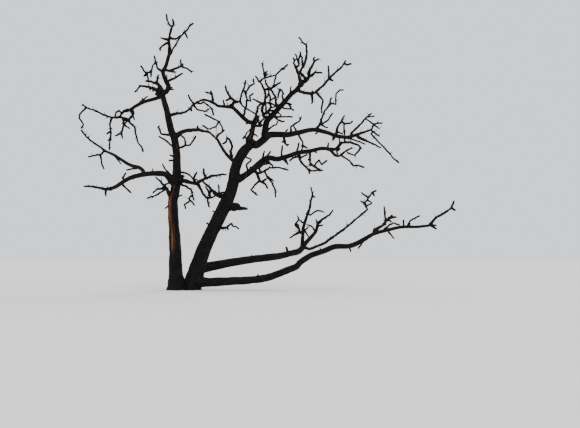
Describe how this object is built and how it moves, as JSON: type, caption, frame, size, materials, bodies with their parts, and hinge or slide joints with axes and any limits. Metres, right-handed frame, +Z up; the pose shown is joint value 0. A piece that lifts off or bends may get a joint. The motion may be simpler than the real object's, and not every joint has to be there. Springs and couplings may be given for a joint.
{
  "type": "dead bare tree",
  "caption": "Dead, leafless, charred tree from one root: a leaning trunk, an upright stem, low spreading limbs and masses of crooked bare twigs.",
  "frame": {"origin": "middle of the flat cut under the main trunk, at ground level", "axes": "+Z up, +X to the right along the tree's greatest spread, +Y away from the viewer, through its depth"},
  "size_m": [9.2556, 4.6892, 6.805],
  "materials": {
    "stem_bark": "charred, furrowed bark",
    "bough_bark": "charred, cracked bark",
    "twig_bark": "dry, dark twigs"
  },
  "bodies": {
    "root": {"main_trunk": "stem_bark", "left_stem": "stem_bark", "low_limb_far": "stem_bark", "low_limb_near": "stem_bark", "near_outer_bough": "bough_bark", "far_upright_bough": "bough_bark", "far_right_bough": "bough_bark", "long_right_bough": "bough_bark", "left_fork_bough": "bough_bark", "crossing_bough": "bough_bark", "central_bough": "bough_bark", "lower_right_bough": "bough_bark", "upper_left_bough": "bough_bark", "leader_bough": "bough_bark", "low_left_bough": "bough_bark", "low_left_fork_bough": "bough_bark", "leader_top_twigs": "twig_bark", "leader_right_twigs": "twig_bark", "leader_left_twigs": "twig_bark", "leader_low_twigs": "twig_bark", "fork_left_twigs": "twig_bark", "upper_left_twigs": "twig_bark", "upper_left_long_twigs": "twig_bark", "stem_upper_left_twigs": "twig_bark", "stem_low_left_twigs": "twig_bark", "stem_high_right_twigs": "twig_bark", "stem_arched_twigs": "twig_bark", "stem_mid_right_twigs": "twig_bark", "stem_low_right_twigs": "twig_bark", "low_left_tip_twigs": "twig_bark", "low_left_fork_twigs": "twig_bark", "trunk_stub_twigs": "twig_bark", "trunk_low_twigs": "twig_bark", "trunk_left_twigs": "twig_bark", "trunk_arched_twigs": "twig_bark", "left_fork_twigs": "twig_bark", "crossing_tip_twigs": "twig_bark", "crossing_upper_twigs": "twig_bark", "crossing_mid_twigs": "twig_bark", "central_top_twigs": "twig_bark", "central_right_twigs": "twig_bark", "central_left_twigs": "twig_bark", "central_mid_twigs": "twig_bark", "right_tip_twigs": "twig_bark", "right_upper_twigs": "twig_bark", "right_mid_twigs": "twig_bark", "right_inner_twigs": "twig_bark", "right_under_twigs": "twig_bark", "lower_right_tip_twigs": "twig_bark", "lower_right_hanging_twigs": "twig_bark", "lower_right_mid_twigs": "twig_bark", "lower_right_drop_twigs": "twig_bark", "far_top_twigs": "twig_bark", "far_knot_twigs": "twig_bark", "far_right_twigs": "twig_bark", "back_twigs": "twig_bark", "near_tip_twigs": "twig_bark", "near_side_twigs": "twig_bark", "stem_hanging_twigs": "twig_bark"}
  },
  "joints": []
}
